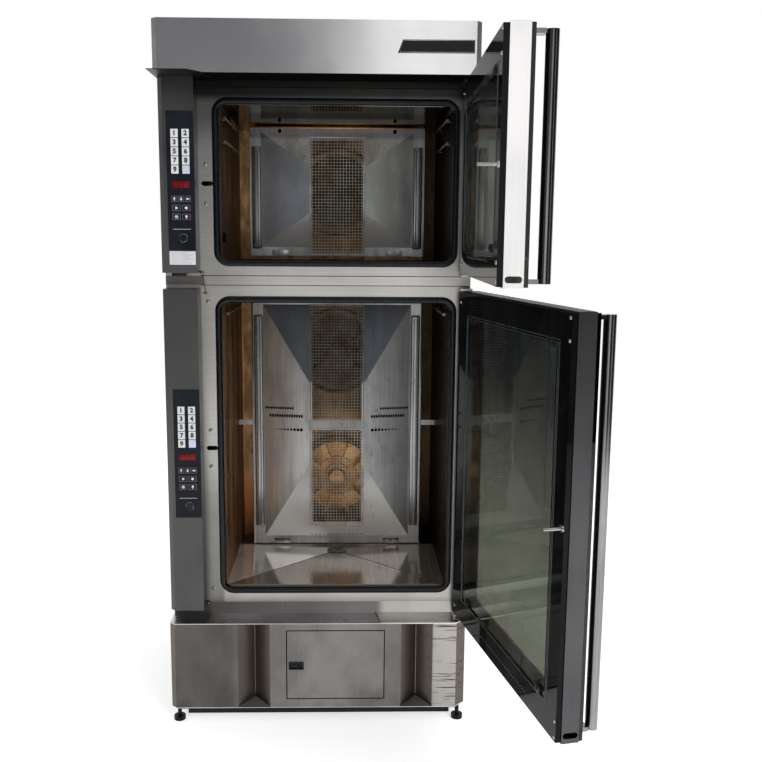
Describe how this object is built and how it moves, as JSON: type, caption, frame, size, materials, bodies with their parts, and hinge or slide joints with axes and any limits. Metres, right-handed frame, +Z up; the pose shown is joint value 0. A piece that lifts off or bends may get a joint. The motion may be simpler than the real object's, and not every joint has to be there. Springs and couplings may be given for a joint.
{
  "type": "two-deck convection oven",
  "caption": "Free-standing steel convection oven stack: a tall and a low chamber with hinged glass doors, keypad columns, a hood above and a base cabinet with a hatch below",
  "frame": {"origin": "on the floor, under the middle of the cabinet", "axes": "+Z up, the doors and control panels face -Y, +X to the right of someone facing them"},
  "size_m": [1.0887, 1.6355, 2.026],
  "materials": {
    "stainless": "brushed",
    "cavity_steel": "satin, heat stained",
    "dark_steel": "satin",
    "wire_steel": "satin",
    "black_metal": "satin",
    "seal_rubber": "matte",
    "tinted_glass": "polished",
    "mineral_wool": "fibrous",
    "panel_film": "satin",
    "key_white": "matte",
    "display_red": "polished",
    "black_plastic": "matte",
    "board_green": "matte",
    "motor_case": "cast",
    "brass": "machined"
  },
  "bodies": {
    "oven": {"plinth": "black_metal", "levelling_feet": "black_metal", "base_front": "stainless", "base_plates": "stainless", "hatch_frame": "dark_steel", "service_compartment": "dark_steel", "left_side_panel": "stainless", "right_side_panel": "stainless", "rear_panel": "stainless", "top_panel": "stainless", "lower_front_frame": "stainless", "upper_front_frame": "stainless", "trim_strips": "stainless", "lower_cavity": "cavity_steel", "upper_cavity": "cavity_steel", "insulation": "mineral_wool", "lower_door_seal": "seal_rubber", "upper_door_seal": "seal_rubber", "lower_fan_baffle": "cavity_steel", "upper_fan_baffle": "cavity_steel", "lower_fan_guards": "wire_steel", "upper_fan_guard": "wire_steel", "fan_motors": "motor_case", "ring_heaters": "dark_steel", "rack_rails": "wire_steel", "steam_fittings": "cavity_steel", "lower_floor_pan": "cavity_steel", "drain": "wire_steel", "lower_control_column": "stainless", "upper_control_column": "stainless", "control_panels": "panel_film", "control_keys": "key_white", "displays": "display_red", "control_boards": "board_green", "hood": "stainless", "hood_soffit": "black_metal", "column_visor": "stainless", "hinge_brackets": "stainless", "frame_screws": "wire_steel", "water_inlet": "brass", "cable_gland": "black_plastic"},
    "lower_door": {"lower_door_frame": "stainless", "lower_door_inner_frame": "black_metal", "lower_inner_glass": "tinted_glass", "lower_outer_glass": "tinted_glass", "lower_door_handle": "stainless", "lower_latch_pin": "wire_steel"},
    "upper_door": {"upper_door_frame": "stainless", "upper_door_inner_frame": "black_metal", "upper_inner_glass": "tinted_glass", "upper_outer_glass": "tinted_glass", "upper_door_handle": "stainless", "upper_latch_pin": "wire_steel"},
    "hatch": {"base_hatch": "stainless", "hatch_pull": "black_plastic"},
    "fan_low": {"lower_fan_low": "cavity_steel"},
    "fan_high": {"lower_fan_high": "cavity_steel"},
    "fan_upper": {"upper_fan": "cavity_steel"},
    "lower_knob": {"lower_switch": "black_plastic"},
    "upper_knob": {"upper_switch": "black_plastic"}
  },
  "joints": [
    {"name": "lower_door_hinge", "type": "hinge", "parent": "oven", "child": "lower_door", "pos_m": [0.425, -0.435, 0.796], "axis": [0, 0, 1], "range_deg": [-101, 23.5]},
    {"name": "upper_door_hinge", "type": "hinge", "parent": "oven", "child": "upper_door", "pos_m": [0.425, -0.435, 1.583], "axis": [0, 0, 1], "range_deg": [-88.5, 36]},
    {"name": "hatch_hinge", "type": "hinge", "parent": "oven", "child": "hatch", "pos_m": [0.184, -0.482, 0.18], "axis": [0, 0, 1], "range_deg": [0, 100]},
    {"name": "lower_fan_low_spin", "type": "hinge", "parent": "oven", "child": "fan_low", "pos_m": [0.05, 0.09, 0.602], "axis": [0, 1, 0], "continuous": true},
    {"name": "lower_fan_high_spin", "type": "hinge", "parent": "oven", "child": "fan_high", "pos_m": [0.05, 0.09, 1.041], "axis": [0, 1, 0], "continuous": true},
    {"name": "upper_fan_spin", "type": "hinge", "parent": "oven", "child": "fan_upper", "pos_m": [0.05, 0.09, 1.572], "axis": [0, 1, 0], "continuous": true},
    {"name": "lower_switch_turn", "type": "hinge", "parent": "oven", "child": "lower_knob", "pos_m": [-0.37, -0.47, 0.655], "axis": [0, 1, 0], "range_deg": [0, 90]},
    {"name": "upper_switch_turn", "type": "hinge", "parent": "oven", "child": "upper_knob", "pos_m": [-0.37, -0.47, 1.419], "axis": [0, 1, 0], "range_deg": [0, 90]}
  ]
}
